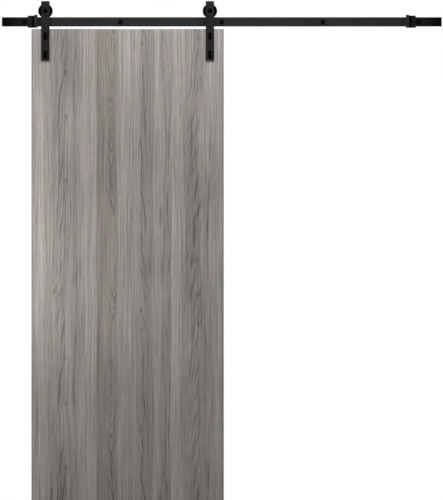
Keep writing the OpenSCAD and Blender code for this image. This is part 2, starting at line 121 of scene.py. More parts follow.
class Seed(Enum):
    """How far each noise is moved along all three axes, which sets it apart from the others."""

    PEEL = 0.7
    GRAIN = 0.9
    LEFT_FEATHERS = 1.0
    STREAK = 1.3
    SPECK = 1.9
    RIGHT_FEATHERS = 2.0
    RINGS = 2.3
    COAT = 3.1
    PATCH = 4.7
    FIBRE = 5.9
    WANDER = 7.3
    BROAD = 11.0
    LINE = 23.0
    THREAD = 29.0
    FINE = 37.0
    PORES = 41.0
    CLOUD = 53.0
    TINT = 61.0


class NodeBench:
    """Lays out shader nodes in one tree by short calls.

    Args:
        tree: The node tree of a material, a world or a node group.
    """

    def __init__(self, tree: bpy.types.NodeTree) -> None:
        """Keeps the tree that the nodes go into."""
        self.tree = tree

    def add(self, kind: str, **settings: object) -> bpy.types.Node:
        """Adds a node.

        Args:
            kind: The shader node's type, without its ShaderNode prefix.
            settings: Properties that are set on the node.

        Returns:
            The new node.
        """
        node = self.tree.nodes.new("ShaderNode" + kind)
        for name, value in settings.items():
            setattr(node, name, value)
        return node

    def feed(self, socket: Socket, value: Feed) -> None:
        """Links a socket to another one, or sets its value.

        Args:
            socket: The input to feed.
            value: An output socket, a number, a vector or a colour.
        """
        if isinstance(value, bpy.types.NodeSocket):
            self.tree.links.new(value, socket)
        elif socket.type == "RGBA":
            socket.default_value = (*value, 1.0)
        else:
            socket.default_value = value

    def math(self, operation: str, *values: Feed) -> Socket:
        """Adds a Math node.

        Args:
            operation: The node's operation.
            values: What its inputs take, in order.

        Returns:
            The result's socket.
        """
        node = self.add("Math", operation=operation)
        for socket, value in zip(node.inputs, values):
            self.feed(socket, value)
        return node.outputs[0]

    def total(self, start: Feed, parts: Iterable[tuple[Socket, float]]) -> Socket | float:
        """Adds up sockets, each times its own share.

        Args:
            start: What the sum starts from.
            parts: Pairs of a socket and its share.

        Returns:
            The sum's socket.
        """
        result = start
        for socket, share in parts:
            result = self.math("MULTIPLY_ADD", socket, share, result)
        return result

    def place(self) -> Socket:
        """Object coordinates of the piece, which are the frame's own metres."""
        return self.add("TexCoord").outputs["Object"]

    def place_from(self, origin: Point) -> Socket:
        """Object coordinates of the piece, counted from another origin."""
        return self.mapped(self.place(), origin, 0.0, (1.0, 1.0, 1.0))

    def split(self, vector: Socket) -> tuple[Socket, Socket, Socket]:
        """Splits a vector into its three parts.

        Args:
            vector: The vector's socket.

        Returns:
            The sockets of X, Y and Z.
        """
        node = self.add("SeparateXYZ")
        self.feed(node.inputs[0], vector)
        return node.outputs[0], node.outputs[1], node.outputs[2]

    def join(self, across: Feed, down: Feed) -> Socket:
        """Makes a flat vector of two distances.

        Args:
            across: Its first part.
            down: Its second part.

        Returns:
            The vector's socket.
        """
        node = self.add("CombineXYZ")
        for socket, value in zip(node.inputs, (across, down)):
            self.feed(socket, value)
        return node.outputs[0]

    def mapped(self, vector: Socket, centre: Sequence[float], turn: float, size: Sequence[float]) -> Socket:
        """Coordinates in a small frame of their own.

        Args:
            vector: The coordinates to change.
            centre: Where the small frame's origin lies.
            turn: How far the small frame is turned about its third axis, in radians.
            size: The length of one unit along each axis of the small frame.

        Returns:
            The new coordinates' socket.
        """
        node = self.add("Mapping", vector_type="TEXTURE")
        self.feed(node.inputs["Vector"], vector)
        self.feed(node.inputs["Location"], tuple(centre))
        self.feed(node.inputs["Rotation"], (0.0, 0.0, turn))
        self.feed(node.inputs["Scale"], tuple(size))
        return node.outputs[0]

    def noise(self, vector: Socket, cell: Sequence[float], seed: Seed, detail: float = 2.0) -> Socket:
        """Noise with cells of a given size.

        Args:
            vector: The coordinates that it lies on.
            cell: The size of a cell along each axis.
            seed: What sets this noise apart from others.
            detail: How many finer layers it has.

        Returns:
            The socket of the noise, from 0 to 1.
        """
        cells = self.mapped(vector, (seed.value,) * 3, 0.0, cell)
        node = self.add("TexNoise")
        self.feed(node.inputs["Vector"], cells)
        node.inputs["Scale"].default_value = 1.0
        node.inputs["Detail"].default_value = detail
        return node.outputs["Fac"]

    def spot(self, vector: Socket, centre: Sequence[float], turn: float, size: Sequence[float]) -> Socket:
        """A soft ellipse, 1 in its middle and 0 at its rim and beyond.

        Args:
            vector: The coordinates that it lies on.
            centre: Its middle.
            turn: How far it is turned, in radians.
            size: Its half-width, its half-length and its reach along the third axis.

        Returns:
            The ellipse's socket.
        """
        ellipse = self.mapped(vector, centre, turn, size)
        node = self.add("TexGradient", gradient_type="SPHERICAL")
        self.feed(node.inputs["Vector"], ellipse)
        return node.outputs["Fac"]

    def slope(self, value: Socket, low: float, high: float, start: float = 0.0, end: float = 1.0) -> Socket:
        """A smooth step.

        Args:
            value: What it runs along.
            low: Where it starts.
            high: Where it ends.
            start: Its value before low.
            end: Its value after high.

        Returns:
            The step's socket.
        """
        node = self.add("MapRange", interpolation_type="SMOOTHSTEP")
        for socket, number in zip(node.inputs, (value, low, high, start, end)):
            self.feed(socket, number)
        return node.outputs[0]

    def band(self, value: Socket, low: float, high: float, soft: float) -> Socket:
        """A stretch that is 1 between two places and falls to 0 outside them.

        Args:
            value: What it runs along.
            low: Where the stretch starts.
            high: Where it ends.
            soft: How long it takes to fall.

        Returns:
            The stretch's socket.
        """
        rise = self.slope(value, low - soft, low)
        fall = self.slope(value, high, high + soft, 1.0, 0.0)
        return self.math("MULTIPLY", rise, fall)

    def ramp(self, value: Socket, stops: Sequence[tuple[float, Colour]]) -> Socket:
        """A row of colours.

        Args:
            value: Where to read the row, from 0 to 1.
            stops: Pairs of a place and its colour, in order.

        Returns:
            The colour's socket.
        """
        node = self.add("ValToRGB")
        elements = node.color_ramp.elements
        while len(elements) < len(stops):
            elements.new(1.0)
        for element, (position, colour) in zip(elements, stops):
            element.position = position
            element.color = (*colour, 1.0)
        self.feed(node.inputs[0], value)
        return node.outputs["Color"]

    def mix(self, factor: Feed, low: Feed, high: Feed, blend: str = "MIX") -> Socket:
        """Mixes two colours.

        Args:
            factor: Share of the second colour.
            low: The first colour.
            high: The second colour.
            blend: How they are mixed.

        Returns:
            The mixed colour's socket.
        """
        node = self.add("Mix", data_type="RGBA", blend_type=blend)
        for name, value in (("Factor_Float", factor), ("A_Color", low), ("B_Color", high)):
            self.feed(next(s for s in node.inputs if s.identifier == name), value)
        return next(s for s in node.outputs if s.identifier == "Result_Color")

    def scaled(self, colour: Feed, factor: Feed) -> Socket:
        """A colour times a number.

        Args:
            colour: The colour.
            factor: The number.

        Returns:
            The product's socket.
        """
        node = self.add("VectorMath", operation="SCALE")
        self.feed(node.inputs[0], colour)
        self.feed(node.inputs["Scale"], factor)
        return node.outputs[0]

    def bump(self, height: Socket, depth: float) -> Socket:
        """Relief from a height.

        Args:
            height: The height, from 0 to 1.
            depth: What a height of 1 measures, in metres.

        Returns:
            The normal's socket.
        """
        node = self.add("Bump")
        self.feed(node.inputs["Height"], height)
        node.inputs["Distance"].default_value = depth
        return node.outputs["Normal"]


@dataclass(frozen=True)
class Surface:
    """What a finish gives to the shader.

    Args:
        colour: Base colour.
        roughness: Roughness, as a socket or a number.
        normal: The relief's normal.
    """

    colour: Feed
    roughness: Feed
    normal: Socket


@dataclass(frozen=True)
class Finish:
    """A finish whose colour, roughness and relief come from nodes.

    Args:
        name: Name of the material.
        specular: Strength of the reflection of a plain coat.
        metallic: 1 for bare metal, 0 for anything else.
    """

    name: str
    specular: float
    metallic: float = 0.0

    def surface(self, bench: NodeBench) -> Surface:
        """Lays out the finish's own nodes.

        Args:
            bench: The bench of the new material.

        Returns:
            What the shader takes.
        """
        raise NotImplementedError

    def material(self) -> bpy.types.Material:
        """The finish as a material, made when it is first asked for.

        Returns:
            The material.
        """
        found = bpy.data.materials.get(self.name)
        if found is not None:
            return found
        made = bpy.data.materials.new(self.name)
        made.use_nodes = True
        bench = NodeBench(made.node_tree)
        shader = made.node_tree.nodes["Principled BSDF"]
        surface = self.surface(bench)
        shader.inputs["Specular IOR Level"].default_value = self.specular
        shader.inputs["Metallic"].default_value = self.metallic
        bench.feed(shader.inputs["Base Color"], surface.colour)
        bench.feed(shader.inputs["Roughness"], surface.roughness)
        bench.feed(shader.inputs["Normal"], surface.normal)
        return made


def toned(colour: Colour, share: float) -> Colour:
    """A colour with each of its parts times a share."""
    return tuple(share * part for part in colour)


@dataclass(frozen=True, kw_only=True)
class PowderCoat(Finish):
    """Matt black powder coat with a fine orange-peel relief.

    Args:
        colour: Colour of the coat.
        peel: Size of the relief's bumps.
        peel_depth: Height of the bumps.
        cloud: Size of the slow changes of tone.
        cloud_tones: Least and greatest share of the colour in them.
        speck: Size of the fine specks.
        speck_range: Noise at which a speck starts and is full.
        speck_gain: How many times brighter than the coat a speck is.
        roughness: Least and greatest roughness.
    """

    colour: Colour
    peel: float = 1.3 * MM
    peel_depth: float = 0.035 * MM
    cloud: float = 130 * MM
    cloud_tones: Span = (0.90, 1.10)
    speck: float = 0.52 * MM
    speck_range: Span = (0.6, 0.8)
    speck_gain: float = 1.3
    roughness: Span = (0.52, 0.64)

    def shade(self, bench: NodeBench, place: Socket) -> Socket:
        """Share of the coat's colour that is left at each place.

        Args:
            bench: The bench of the new material.
            place: Coordinates of the piece.

        Returns:
            The share's socket.
        """
        cloud = bench.noise(place, (self.cloud,) * 3, Seed.COAT)
        return bench.slope(cloud, *NOISE_RANGE, *self.cloud_tones)

    def surface(self, bench: NodeBench) -> Surface:
        """Lays out the peel, the specks and the slow changes of tone.

        Args:
            bench: The bench of the new material.

        Returns:
            What the shader takes.
        """
        place = bench.place()
        peel = bench.noise(place, (self.peel,) * 3, Seed.PEEL, detail=1.0)
        speck = bench.noise(place, (self.speck,) * 3, Seed.SPECK, detail=1.0)
        sheen = bench.slope(speck, *self.speck_range, 1.0, self.speck_gain)
        colour = bench.scaled(self.colour, bench.math("MULTIPLY", self.shade(bench, place), sheen))
        roughness = bench.slope(peel, *WIDE_RANGE, *self.roughness)
        return Surface(colour, roughness, bench.bump(peel, self.peel_depth))


@dataclass(frozen=True, kw_only=True)
class TrackCoat(PowderCoat):
    """The coat of the track, with painted shade that makes its two ends darker than its middle.

    Args:
        fade_start: Distance from the middle at which the painted shade starts to darken the tone.
        fade_end: Distance from the middle at which the painted shade would leave nothing of the tone.
    """

    fade_start: float = 740 * MM
    fade_end: float = 1060 * MM

    def shade(self, bench: NodeBench, place: Socket) -> Socket:
        """Share of the coat's colour that is left, which painted shade makes less near the ends.

        Args:
            bench: The bench of the new material.
            place: Coordinates of the piece.

        Returns:
            The share's socket.
        """
        along = bench.math("ABSOLUTE", bench.split(place)[0])
        # Painted shade: the colour falls away towards both ends of the track.
        ends = bench.slope(along, self.fade_start, self.fade_end, 1.0, 0.0)
        return bench.math("MULTIPLY", super().shade(bench, place), ends)


@dataclass(frozen=True, kw_only=True)
class StrapCoat(PowderCoat):
    """The coat of a strap, with painted shade that darkens it where it is sunk for the bolts.

    Args:
        middle: Where the strap's middle lies along the track.
        front: Where the strap's front lies.
        slots_top: Height below which the slots lie.
        slot_half_width: Half the width of the slots.
        rim: Width over which the painted shade fades beside and above the slots.
        sunk: Depths in a slot at which the painted shade starts and is full.
        slot_shade_share: Share of the tone that the painted shade takes away there.
    """

    middle: float
    front: float
    slots_top: float = -40 * MM
    slot_half_width: float = 11.5 * MM
    rim: float = 1 * MM
    sunk: Span = (0.5 * MM, 4 * MM)
    slot_shade_share: float = 0.84

    def shade(self, bench: NodeBench, place: Socket) -> Socket:
        """Share of the coat's colour that is left, which painted shade makes less in the slots.

        Args:
            bench: The bench of the new material.
            place: Coordinates of the piece.

        Returns:
            The share's socket.
        """
        across, inward, up = bench.split(place)
        left, right = self.middle - self.slot_half_width, self.middle + self.slot_half_width
        near = bench.band(across, left, right, self.rim)
        below = bench.slope(up, self.slots_top, self.slots_top + self.rim, 1.0, 0.0)
        shown = bench.math("MULTIPLY", near, below)
        start, end = (self.front + depth for depth in self.sunk)
        # Painted shade: the coat is darkened deeper inside the sunk slots.
        painted_slot_shade = bench.math("MULTIPLY", shown, bench.slope(inward, start, end))
        kept = bench.math("MULTIPLY_ADD", painted_slot_shade, -self.slot_shade_share, 1.0)
        return bench.math("MULTIPLY", super().shade(bench, place), kept)


@dataclass(frozen=True, kw_only=True)
class TurnedFinish(Finish):
    """A turned or moulded piece with fine rings round its own axle.

    Args:
        centre: A point of the axle.
        colour: Its colour.
        tones: Darkest and lightest share of the colour.
        patch: Size of its changes of tone.
        ring: Distance between the rings.
        ring_depth: Depth of the rings.
        ring_wander: How far the rings wander, against the distance between them.
        roughness: Its mean roughness.
        rough_swing: How far the roughness swings to both sides.
    """

    centre: Point
    colour: Colour = (0.0014, 0.0014, 0.0015)
    tones: Span = (0.7, 1.4)
    patch: float = 9 * MM
    ring: float = 1.1 * MM
    ring_depth: float = 0.02 * MM
    ring_wander: float = 0.8
    roughness: float = 0.5
    rough_swing: float = 0.06

    def surface(self, bench: NodeBench) -> Surface:
        """Lays out the rings and the small changes of tone.

        Args:
            bench: The bench of the new material.

        Returns:
            What the shader takes.
        """
        place = bench.place_from(self.centre)
        x, _, z = bench.split(place)
        square = bench.total(bench.math("MULTIPLY", x, x), [(bench.math("MULTIPLY", z, z), 1.0)])
        radius = bench.math("SQRT", square)
        patch = bench.noise(place, (self.patch,) * 3, Seed.RINGS)
        turns = bench.total(bench.math("DIVIDE", radius, self.ring), [(patch, self.ring_wander)])
        rings = bench.math("PINGPONG", turns, 1.0)
        dark, light = (toned(self.colour, share) for share in self.tones)
        colour = bench.mix(patch, dark, light)
        smooth, rough = self.roughness - self.rough_swing, self.roughness + self.rough_swing
        roughness = bench.slope(patch, *WIDE_RANGE, smooth, rough)
        return Surface(colour, roughness, bench.bump(rings, self.ring_depth))


@dataclass(frozen=True, kw_only=True)
class GrainyFinish(Finish):
    """A plain finish with a fine grain, such as blackened steel or rubber.

    Args:
        colour: Its colour.
        contrast: How far the tone swings, as a share of the colour.
        grain: Size of the grain.
        grain_depth: Depth of the grain.
        patch: Size of its changes of tone, in grains.
        roughness: Its mean roughness.
        rough_swing: How far the roughness swings to both sides.
    """

    colour: Colour = (0.0022, 0.0022, 0.0024)
    contrast: float = 0.5
    grain: float = 0.6 * MM
    grain_depth: float = 0.012 * MM
    patch: float = 14.0
    roughness: float = 0.42
    rough_swing: float = 0.07

    def surface(self, bench: NodeBench) -> Surface:
        """Lays out the grain and the small changes of tone.

        Args:
            bench: The bench of the new material.

        Returns:
            What the shader takes.
        """
        place = bench.place()
        grain = bench.noise(place, (self.grain,) * 3, Seed.GRAIN)
        patch = bench.noise(place, (self.patch * self.grain,) * 3, Seed.PATCH)
        dark, light = toned(self.colour, 1.0 - self.contrast), toned(self.colour, 1.0 + self.contrast)
        colour = bench.mix(patch, dark, light)
        smooth, rough = self.roughness - self.rough_swing, self.roughness + self.rough_swing
        roughness = bench.slope(patch, *NOISE_RANGE, smooth, rough)
        return Surface(colour, roughness, bench.bump(grain, self.grain_depth))


@dataclass(frozen=True, kw_only=True)
class SawnWood(Finish):
    """Softwood or chipboard inside the leaf.

    Args:
        dark: Colour of the late wood, or of the darker chips.
        light: Colour of the early wood, or of the paler chips.
        tones: Tones at which the dark and the light colour are full.
        cell: Size of a streak or chip along X, Y and Z.
        fibre: Size of a fibre, as a share of a streak.
        fibre_share: Share of the fibres in the tone.
        fibre_depth: Depth of the fibres.
        roughness: Least and greatest roughness.
    """

    dark: Colour = (0.36, 0.20, 0.09)
    light: Colour = (0.66, 0.46, 0.26)
    tones: Span = (0.34, 0.62)
    cell: tuple[float, float, float] = (12 * MM, 12 * MM, 400 * MM)
    fibre: float = 0.15
    fibre_share: float = 0.3
    fibre_depth: float = 0.08 * MM
    roughness: Span = (0.62, 0.8)

    def surface(self, bench: NodeBench) -> Surface:
        """Lays out streaks and fibres.

        Args:
            bench: The bench of the new material.

        Returns:
            What the shader takes.
        """
        place = bench.place()
        streak = bench.noise(place, self.cell, Seed.STREAK, detail=3.0)
        fibre = bench.noise(place, tuple(self.fibre * part for part in self.cell), Seed.FIBRE)
        tone = bench.total(0.0, [(streak, 1.0 - self.fibre_share), (fibre, self.fibre_share)])
        colour = bench.ramp(tone, list(zip(self.tones, (self.dark, self.light))))
        roughness = bench.slope(fibre, *WIDE_RANGE, *self.roughness)
        return Surface(colour, roughness, bench.bump(fibre, self.fibre_depth))


@dataclass(frozen=True)
class Streak:
    """A slender dark streak of the print, in millimetres from the leaf's top left corner.

    Args:
        across: Distance of its middle from the left side.
        down: Distance of its middle from the top. What lies above the leaf shows again a repeat further down.
        length: Its length from tip to tip.
        lean: How far it moves to the right for each step down.
        depth: How much it darkens the print in its middle.
        width: Its width at half its depth.
    """

    across: float
    down: float
    length: float
    lean: float
    depth: float
    width: float


@dataclass(frozen=True)
class Loop:
    """A long eye of the print with lines nested in it, in millimetres from the leaf's top left corner.

    Args:
        across: Distance of its middle from the left side.
        down: Distance of its middle from the top.
        half_width: Distance from its middle to its side.
        half_length: Distance from its middle to its tip.
        lean: How far it moves to the right for each step down.
        depth: How much its lines darken the print.
        spacing: Distance from one line to the next, as a share of its half-width.
    """

    across: float
    down: float
    half_width: float
    half_length: float
    lean: float
    depth: float = 0.10
    spacing: float = 0.36


@dataclass(frozen=True)
class Strip:
    """A strip of veneer in the print.

    Args:
        centre: Distance of its middle from the left side of the leaf, in millimetres.
        tone: Its brightness against the mean.
        warmth: How much redder it is than the mean.
    """

    centre: float
    tone: float
    warmth: float = 0.0


@dataclass(frozen=True)
class Layer:
    """A layer of noise in the print, drawn out along the grain.

    Args:
        width: Width of its cells, in millimetres.
        length: Length of its cells, in millimetres.
        seed: What sets it apart from the other layers.
        share: How much of it is added to what it changes.
        detail: How many finer layers it has.
        cut: Noise at which its lines start and are full, where only the lines are used.
    """

    width: float
    length: float
    seed: Seed
    share: float = 1.0
    detail: float = 2.0
    cut: Span = NOISE_RANGE

    def noise(self, bench: NodeBench, place: Socket) -> Socket:
        """The layer's noise on distances across and down."""
        return bench.noise(place, (self.width * MM, self.length * MM, 1.0), self.seed, self.detail)

    def lines(self, bench: NodeBench, place: Socket) -> Socket:
        """The lines that are left of the noise when it is cut."""
        return bench.slope(self.noise(bench, place), *self.cut)


@dataclass(frozen=True)
class FeatherStrip:
    """A strip of the print with short leaning lines, in millimetres from the leaf's left side.

    Args:
        left: Where it starts.
        right: Where it ends.
        lean: How far its lines move to the left for each step down.
        layer: The lines.
        soft: Width over which they fade beside the strip.
    """

    left: float
    right: float
    lean: float
    layer: Layer
    soft: float = 18.0


# WANDER moves the lines sideways, TINT changes the hue, and the others change the tone.
WANDER = Layer(75, 320, Seed.WANDER, 14 * MM)
BROAD = Layer(17, 1100, Seed.BROAD, 0.17)
LINE = Layer(4.6, 420, Seed.LINE, 0.53)
FINE = Layer(1.9, 60, Seed.FINE, 0.32)
CLOUD = Layer(140, 380, Seed.CLOUD, 0.12)
PORES = Layer(0.6, 16, Seed.PORES, -0.05, 1.0, (0.60, 0.78))
THREAD = Layer(3.4, 520, Seed.THREAD, -0.10, 1.0, (0.54, 0.66))
TINT = Layer(55, 120, Seed.TINT, cut=(0.3, 0.7))

FEATHER_STRIPS = (
    FeatherStrip(88, 165, 0.12, Layer(5, 150, Seed.LEFT_FEATHERS, 0.09, 1.0, (0.54, 0.68))),
    FeatherStrip(700, 765, 0.27, Layer(5, 150, Seed.RIGHT_FEATHERS, 0.09, 1.0, (0.54, 0.68))),
)

# Strips from left to right. The tone changes evenly from the middle of one to the middle of the next.
STRIPS = (
    Strip(0, 0.96, -0.02),
    Strip(9, 1.08, -0.02),
    Strip(45, 1.14),
    Strip(74, 1.06),
    Strip(150, 1.03),
    Strip(173, 1.08),
    Strip(195, 0.99),
    Strip(238, 1.09),
    Strip(290, 1.07),
    Strip(301, 0.92, 0.02),
    Strip(386, 0.95, 0.02),
    Strip(396, 1.03),
    Strip(489, 1.01, -0.01),
    Strip(502, 0.93),
    Strip(548, 0.94),
    Strip(566, 1.05),
    Strip(596, 0.97),
    Strip(629, 0.95),
    Strip(642, 1.09),
    Strip(668, 1.04),
    Strip(700, 0.97),
    Strip(802, 0.96),
    Strip(858, 1.02, -0.01),
    Strip(869, 0.90, -0.02),
)

# Figures of one repeat of the print, from left to right, and the small knots last.
LEFT_FEATHERS = (
    Streak(142, 75, 150, -0.14, 0.12, 5),
    Streak(150, 170, 110, -0.10, 0.07, 7),
    Streak(138, 259, 150, -0.20, 0.11, 5),
    Streak(125, 350, 240, -0.08, 0.12, 7),
    Streak(118, 440, 150, -0.06, 0.10, 4),
    Streak(129, 480, 130, -0.10, 0.10, 4),
    Streak(136, 640, 200, -0.09, 0.11, 5),
    Streak(128, 680, 190, -0.09, 0.10, 4),
    Streak(119, 832, 260, -0.05, 0.12, 4),
    Streak(131, 800, 220, -0.06, 0.10, 4),
    Streak(150, 754, 150, -0.11, 0.11, 5),
    Streak(138, 885, 205, -0.08, 0.12, 4),
    Streak(128, 918, 150, -0.07, 0.10, 4),
    Streak(179, 816, 205, 0.02, 0.09, 4),
    Streak(193, 300, 420, 0.0, 0.08, 5),
    Streak(200, 682, 160, 0.0, 0.07, 5),
    Streak(123, -91, 95, -0.26, 0.12, 5),
    Streak(136, -107, 130, -0.24, 0.07, 4),
    Streak(147, -118, 110, -0.22, 0.05, 4),
    Streak(112, -120, 100, -0.25, 0.09, 4),
    Streak(118, -200, 90, -0.20, 0.08, 4),
    Streak(133, -210, 110, -0.18, 0.07, 4),
    Streak(128, -30, 120, -0.15, 0.10, 4),
    Streak(145, -20, 110, -0.18, 0.05, 5),
    Streak(120, 14, 120, -0.12, 0.10, 4),
    Streak(103, 54, 90, -0.10, 0.07, 4),
    Streak(207, -200, 200, 0.0, 0.08, 5),
    Streak(226, -214, 190, 0.0, 0.10, 4),
    Streak(198, -164, 80, 0.0, 0.03, 14),
    Streak(198, 113, 170, 0.0, 0.08, 5),
)

CATHEDRAL_ARCS = (
    Streak(302, 330, 900, 0.0, 0.05, 6),
    Streak(359, 215, 110, 0.06, 0.08, 4),
    Streak(372, 215, 110, -0.06, 0.08, 4),
    Streak(366, 262, 24, 0.0, 0.05, 8),
    Streak(353, 530, 80, 0.20, 0.06, 4),
    Streak(374, 530, 80, -0.20, 0.09, 4),
    Streak(364, 551, 30, 0.0, 0.10, 7),
    Streak(352, 598, 96, 0.20, 0.08, 4),
    Streak(372, 598, 96, -0.20, 0.08, 4),
    Streak(361, 630, 50, 0.0, 0.12, 7),
    Streak(363, 702, 130, 0.06, 0.12, 6),
    Streak(352, 768, 170, 0.27, 0.08, 4),
    Streak(380, 788, 120, -0.10, 0.04, 4),
    Streak(366, 800, 76, 0.20, 0.07, 5),
    Streak(372, 836, 24, 0.0, 0.10, 7),
    Streak(377, 905, 80, 0.15, 0.03, 4),
    Streak(378, -268, 60, 0.18, 0.04, 4),
    Streak(378, -211, 40, 0.16, 0.06, 6),
    Streak(379, -176, 36, -0.16, 0.06, 6),
    Streak(376, -122, 52, -0.20, 0.05, 5),
    Streak(362, -110, 110, 0.06, 0.08, 4),
    Streak(371, -84, 62, 0.28, 0.11, 5),
    Streak(383, -82, 54, -0.26, 0.11, 5),
    Streak(376, -60, 24, 0.0, 0.07, 8),
    Streak(358, -24, 90, 0.10, 0.09, 4),
    Streak(377, -8, 60, -0.20, 0.08, 4),
    Streak(372, 10, 40, 0.0, 0.09, 6),
    Streak(363, 70, 120, 0.03, 0.09, 5),
    Streak(378, 95, 90, -0.03, 0.07, 4),
)

CATHEDRAL_LOOPS = (
    Loop(362, 410, 19, 112, 0.03),
    Loop(369, 735, 17, 112, 0.05, 0.09, 0.5),
    Loop(366, 255, 12, 60, 0.0, 0.06, 0.5),
    Loop(376, -72, 13, 62, 0.0, 0.08, 0.5),
    Loop(374, -165, 9, 34, 0.0, 0.07, 0.5),
    Loop(370, 5, 12, 52, -0.05, 0.07, 0.5),
)

WAVY_LINE = (
    Streak(507, 250, 220, 0.03, 0.10, 5),
    Streak(513, 409, 220, 0.08, 0.11, 5),
    Streak(496, 518, 90, 0.03, 0.12, 6),
    Streak(503, 584, 95, 0.13, 0.11, 5),
    Streak(499, 660, 110, -0.06, 0.11, 5),
    Streak(509, 690, 110, 0.0, 0.08, 4),
    Streak(499, 728, 90, 0.06, 0.11, 6),
    Streak(510, 800, 170, 0.13, 0.13, 6),
    Streak(521, 895, 130, 0.04, 0.10, 5),
    Streak(503, 955, 90, 0.15, 0.09, 5),
    Streak(509, -250, 130, 0.12, 0.11, 5),
    Streak(503, -185, 80, 0.20, 0.09, 5),
    Streak(521, -150, 140, 0.20, 0.07, 4),
    Streak(516, -90, 140, 0.16, 0.08, 4),
    Streak(497, -22, 26, 0.0, 0.13, 11),
    Streak(512, 25, 110, 0.26, 0.08, 4),
    Streak(500, 66, 20, 0.0, 0.09, 9),
    Streak(508, 190, 120, 0.0, 0.07, 5),
    Streak(525, -200, 190, 0.0, 0.05, 26),
)

FINE_PAIR = (
    Streak(600, 190, 130, 0.04, 0.07, 4),
    Streak(604, 330, 230, 0.05, 0.08, 4),
    Streak(608, 460, 190, 0.07, 0.11, 5),
    Streak(609, 600, 220, -0.05, 0.08, 5),
    Streak(602, 725, 150, -0.03, 0.11, 5),
    Streak(624, 520, 300, -0.01, 0.10, 4),
    Streak(630, 330, 260, 0.0, 0.07, 4),
    Streak(616, 790, 150, -0.01, 0.13, 6),
    Streak(621, 900, 180, 0.08, 0.11, 5),
    Streak(606, 940, 150, 0.12, 0.04, 4),
    Streak(627, -234, 150, 0.0, 0.10, 5),
    Streak(616, -220, 170, 0.0, 0.03, 4),
    Streak(593, -200, 200, 0.0, 0.06, 12),
    Streak(587, 850, 140, 0.0, 0.09, 12),
    Streak(625, -27, 140, 0.0, 0.04, 4),
    Streak(606, 60, 150, 0.08, 0.08, 4),
    Streak(618, 120, 150, 0.05, 0.08, 4),
)

RIGHT_FEATHERS = (
    Streak(736, 95, 220, -0.10, 0.10, 4),
    Streak(750, 120, 190, -0.14, 0.10, 4),
    Streak(724, 225, 200, -0.08, 0.11, 5),
    Streak(738, 250, 180, -0.14, 0.10, 4),
    Streak(752, 262, 170, -0.18, 0.09, 4),
    Streak(741, 380, 180, -0.24, 0.09, 4),
    Streak(720, 430, 80, -0.30, 0.05, 5),
    Streak(755, 455, 120, -0.27, 0.10, 4),
    Streak(740, 480, 170, -0.25, 0.10, 4),
    Streak(724, 500, 110, -0.25, 0.09, 4),
    Streak(729, 555, 130, -0.29, 0.11, 4),
    Streak(740, 572, 160, -0.28, 0.11, 4),
    Streak(751, 568, 110, -0.34, 0.10, 4),
    Streak(734, 640, 110, -0.32, 0.10, 4),
    Streak(720, 640, 90, -0.20, 0.05, 4),
    Streak(752, 690, 110, -0.20, 0.12, 7),
    Streak(745, 745, 130, -0.16, 0.12, 6),
    Streak(757, 820, 110, -0.14, 0.10, 9),
    Streak(748, 850, 60, -0.35, 0.05, 6),
    Streak(738, 930, 190, -0.05, 0.11, 13),
    Streak(727, -248, 120, -0.15, 0.11, 12),
    Streak(737, -164, 150, -0.12, 0.12, 6),
    Streak(724, -90, 120, -0.05, 0.10, 9),
    Streak(742, -60, 150, -0.10, 0.10, 5),
    Streak(744, 15, 160, -0.09, 0.11, 5),
    Streak(757, 10, 120, -0.08, 0.05, 6),
    Streak(806, 735, 190, 0.0, 0.14, 6),
    Streak(793, 682, 150, 0.0, 0.08, 4),
    Streak(802, 886, 180, -0.01, 0.11, 5),
    Streak(809, 550, 170, 0.0, 0.08, 5),
    Streak(792, 118, 220, 0.0, 0.07, 4),
)

KNOTS = (
    Streak(155, 196, 40, -0.20, 0.08, 9),
    Streak(157, 402, 44, -0.20, 0.09, 10),
    Streak(156, 692, 40, -0.20, 0.08, 10),
    Streak(105, -109, 30, -0.20, 0.07, 8),
    Streak(752, -250, 50, -0.10, 0.09, 13),
    Streak(756, -91, 44, -0.10, 0.07, 12),
    Streak(760, 40, 44, -0.10, 0.08, 12),
)

# Broad soft spots of painted light and shade on the sheet, which don't come back with the repeat. A negative
# depth makes a lighter spot.
PAINTED_LIGHT_AND_SHADE = (
    Streak(40, 1010, 1500, 0.0, -0.12, 110),
    Streak(745, 1060, 1400, 0.0, 0.08, 150),
    Streak(850, 60, 900, 0.0, -0.06, 90),
    Streak(150, 60, 700, 0.0, 0.16, 170),
    Streak(790, 330, 800, 0.0, -0.06, 110),
    Streak(580, 260, 500, 0.0, -0.06, 60),
    Streak(135, 1290, 700, 0.0, -0.09, 70),
    Streak(140, 2100, 700, 0.0, 0.09, 80),
    Streak(350, 1250, 620, 0.0, -0.07, 110),
    Streak(565, 960, 520, 0.0, 0.08, 55),
)


